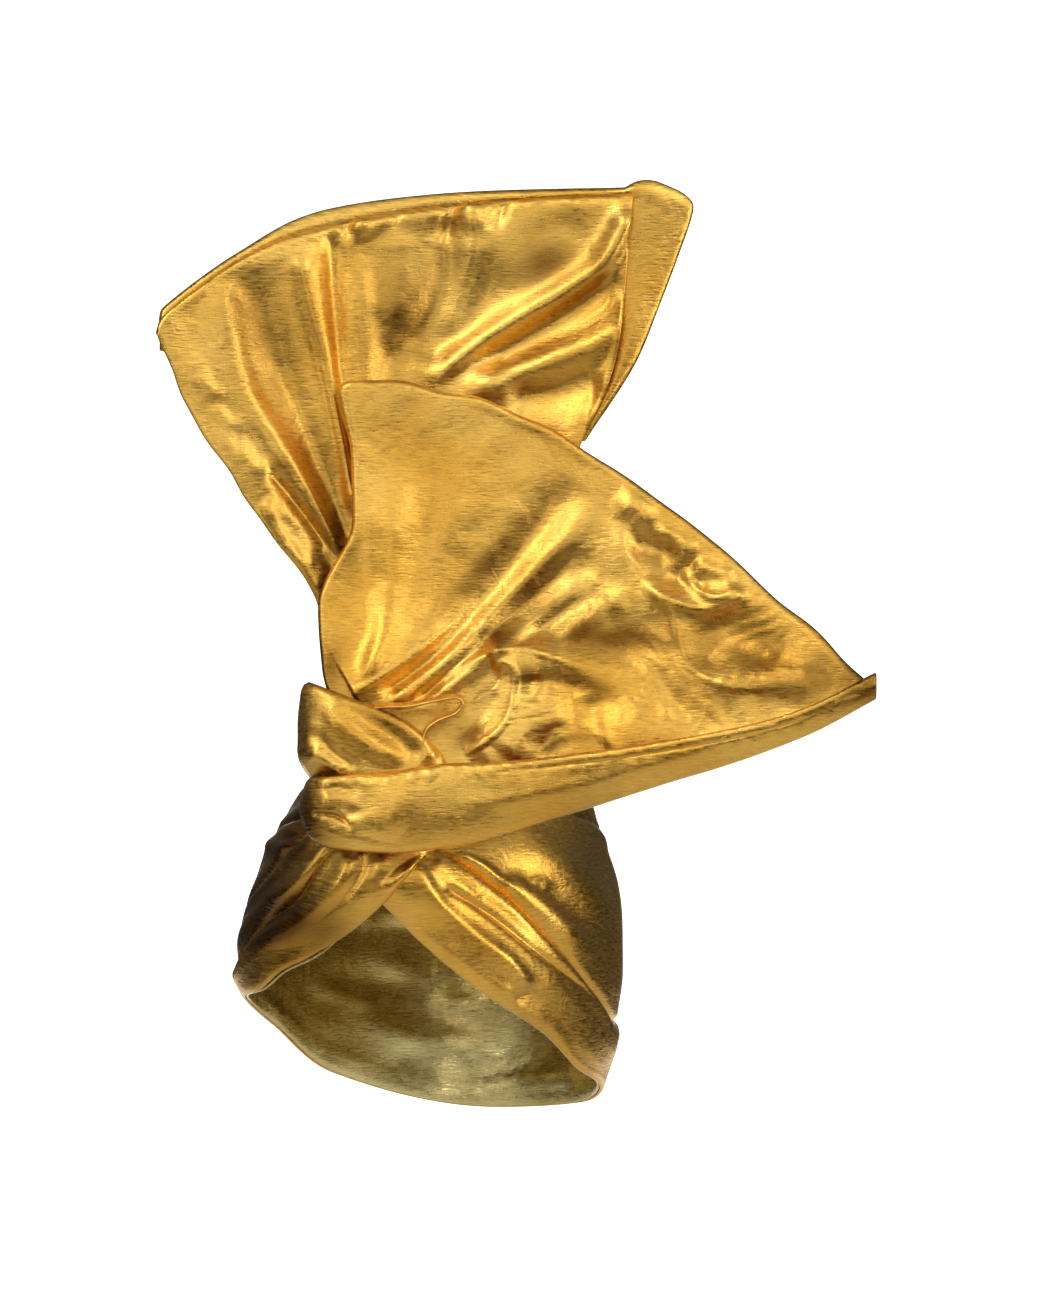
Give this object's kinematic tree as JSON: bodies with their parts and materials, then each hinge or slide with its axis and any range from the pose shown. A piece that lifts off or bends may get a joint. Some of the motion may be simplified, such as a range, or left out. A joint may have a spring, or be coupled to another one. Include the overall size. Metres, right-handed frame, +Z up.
{
  "type": "knotted turban head wrap",
  "caption": "Head wrap of stiff metallic cloth: a pleated band round the head, a knot over the brow, and the cloth's wide ends standing up from the knot.",
  "frame": {"origin": "middle of the head opening, level with the band's lowest point at the nape, where the head holds it", "axes": "+Z up, -Y the way the wearer faces, +X towards the wearer's left"},
  "size_m": [0.3324, 0.2492, 0.4305],
  "materials": {
    "gold_cloth": "metallic lame with a fine weave",
    "gold_cloth_inside": "metallic lame, duller inside"
  },
  "bodies": {
    "root": {"head_band": "gold_cloth_inside", "ply_lapel": "gold_cloth", "ply_second": "gold_cloth", "ply_third": "gold_cloth", "ply_crown": "gold_cloth", "knot_core": "gold_cloth_inside", "knot_strap": "gold_cloth", "rear_tail": "gold_cloth", "rear_hem": "gold_cloth", "front_tail": "gold_cloth", "front_cuff": "gold_cloth"}
  },
  "joints": []
}
